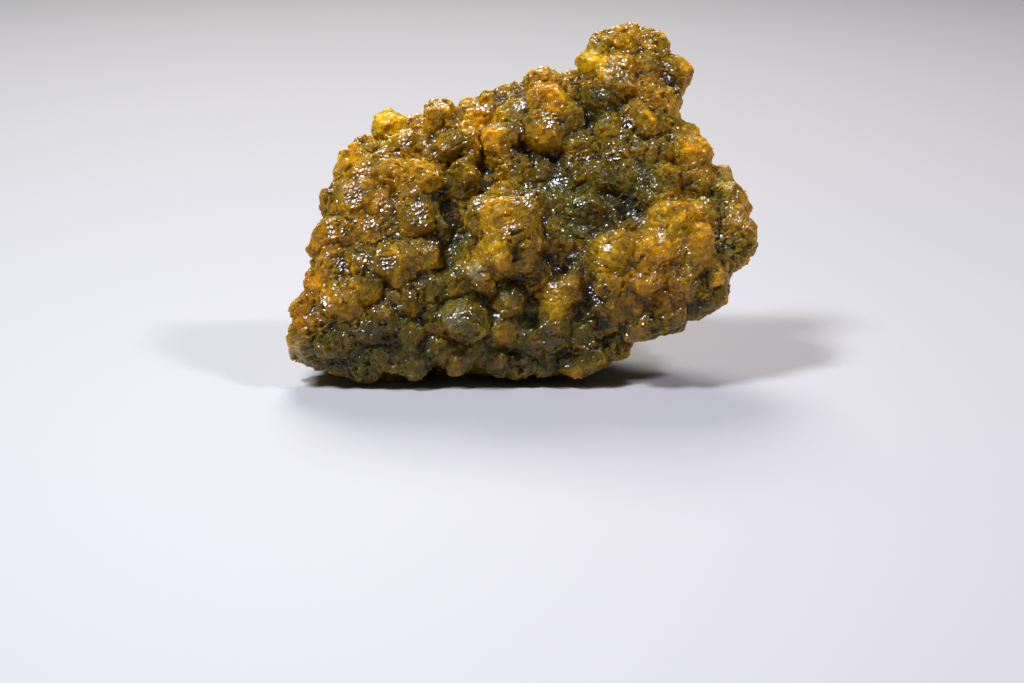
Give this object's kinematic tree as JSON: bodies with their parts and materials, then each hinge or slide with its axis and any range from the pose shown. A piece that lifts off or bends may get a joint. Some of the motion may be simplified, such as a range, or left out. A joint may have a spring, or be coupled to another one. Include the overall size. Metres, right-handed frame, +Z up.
{
  "type": "stellerite crystal cluster",
  "caption": "Hand-sized mineral specimen: a leaning crust of intergrown honey-amber globules covered in small glassy crystal faces, with a narrow peak, resting on a flat underside.",
  "frame": {"origin": "middle of the bounding box at its underside, on the surface that the specimen rests on", "axes": "+X to the right along the longest extent, +Y away from the showy face, +Z up"},
  "size_m": [0.0706, 0.0346, 0.0516],
  "materials": {
    "honey_stellerite": "translucent honey-amber crystal druse with a glassy, slightly pearly lustre"
  },
  "bodies": {
    "root": {"stellerite": "honey_stellerite"}
  },
  "joints": []
}
